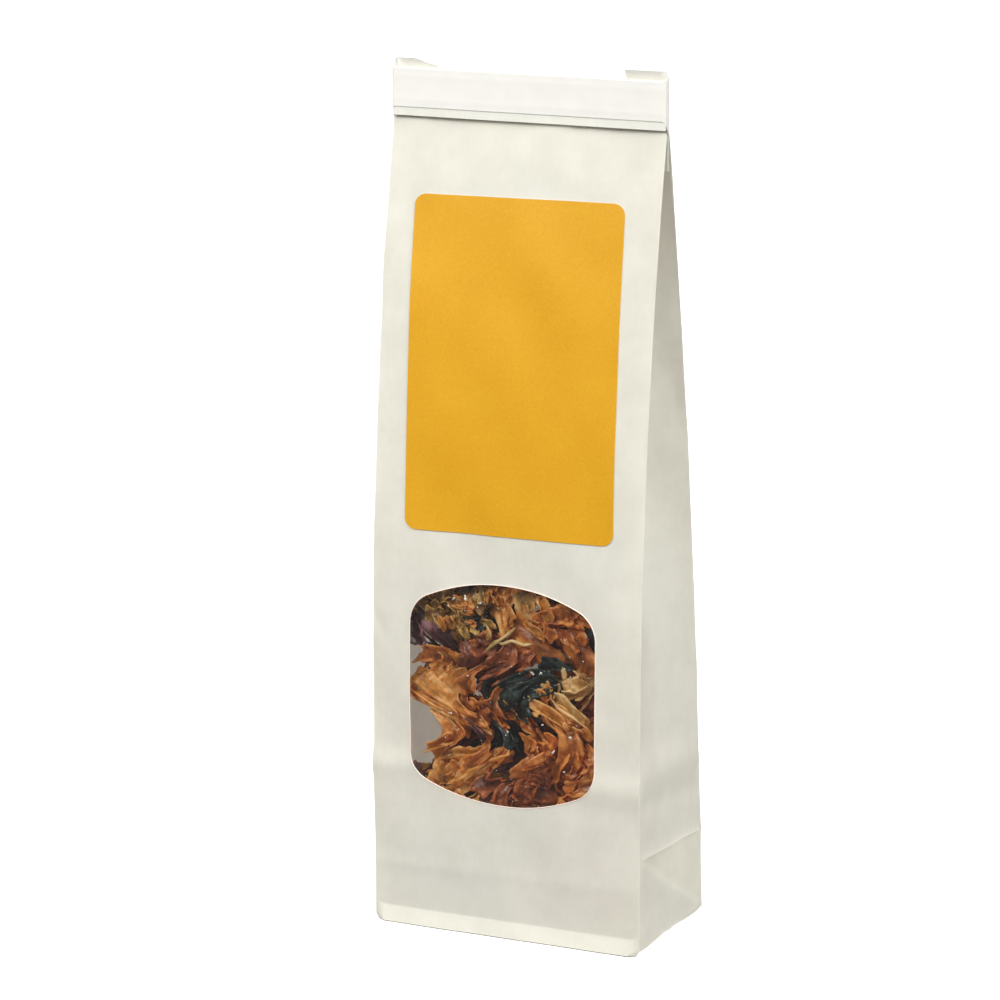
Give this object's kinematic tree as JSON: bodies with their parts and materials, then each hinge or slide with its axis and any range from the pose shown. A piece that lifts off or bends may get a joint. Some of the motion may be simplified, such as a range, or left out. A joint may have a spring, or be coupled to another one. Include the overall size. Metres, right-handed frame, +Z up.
{
  "type": "bag of dried irish moss seaweed",
  "caption": "White paper window bag with folded sides, a wire tie and a plain orange label, standing upright and filled with ruffled, forked fronds of dried irish moss.",
  "frame": {"origin": "middle of the bag's flat bottom, where it stands", "axes": "+Z up along the bag, -Y out of the front with the window and the label, +X to the viewer's right when facing the front"},
  "size_m": [0.0832, 0.046, 0.2396],
  "materials": {
    "paper": "matte",
    "film": "gloss",
    "label": "satin",
    "tie": "satin",
    "wire": "satin",
    "moss_amber": "satin",
    "moss_honey": "satin",
    "moss_russet": "satin",
    "moss_plum": "satin",
    "moss_olive": "satin",
    "moss_bottle": "satin",
    "moss_straw": "satin"
  },
  "bodies": {
    "root": {"frond_01_olive": "moss_olive", "frond_02_honey": "moss_honey", "frond_03_amber": "moss_amber", "frond_04_honey": "moss_honey", "frond_05_russet": "moss_russet", "frond_06_amber": "moss_amber", "frond_07_straw": "moss_straw", "frond_08_honey": "moss_honey", "frond_09_amber": "moss_amber", "frond_10_amber": "moss_amber", "frond_11_honey": "moss_honey", "frond_12_russet": "moss_russet", "frond_13_plum": "moss_plum", "frond_14_honey": "moss_honey", "frond_15_honey": "moss_honey", "frond_16_bottle": "moss_bottle", "frond_17_bottle": "moss_bottle", "frond_18_plum": "moss_plum", "frond_19_russet": "moss_russet", "frond_20_bottle": "moss_bottle", "frond_21_plum": "moss_plum", "frond_22_bottle": "moss_bottle", "frond_23_russet": "moss_russet", "frond_24_bottle": "moss_bottle", "frond_25_russet": "moss_russet", "frond_26_amber": "moss_amber", "frond_27_plum": "moss_plum", "frond_28_amber": "moss_amber", "frond_29_amber": "moss_amber", "frond_30_amber": "moss_amber", "frond_31_olive": "moss_olive", "frond_32_straw": "moss_straw", "frond_33_olive": "moss_olive", "frond_34_straw": "moss_straw", "frond_35_plum": "moss_plum", "frond_36_honey": "moss_honey", "frond_37_honey": "moss_honey", "frond_38_bottle": "moss_bottle", "frond_39_honey": "moss_honey", "frond_40_bottle": "moss_bottle", "frond_41_russet": "moss_russet", "frond_42_amber": "moss_amber", "frond_43_russet": "moss_russet", "frond_44_amber": "moss_amber", "frond_45_amber": "moss_amber", "frond_46_olive": "moss_olive", "frond_47_amber": "moss_amber", "frond_48_olive": "moss_olive", "frond_49_straw": "moss_straw", "frond_50_plum": "moss_plum", "label": "label", "paper_bag": "paper", "tie_strip": "tie", "tie_wire_lower": "wire", "tie_wire_upper": "wire", "window_film": "film"}
  },
  "joints": []
}
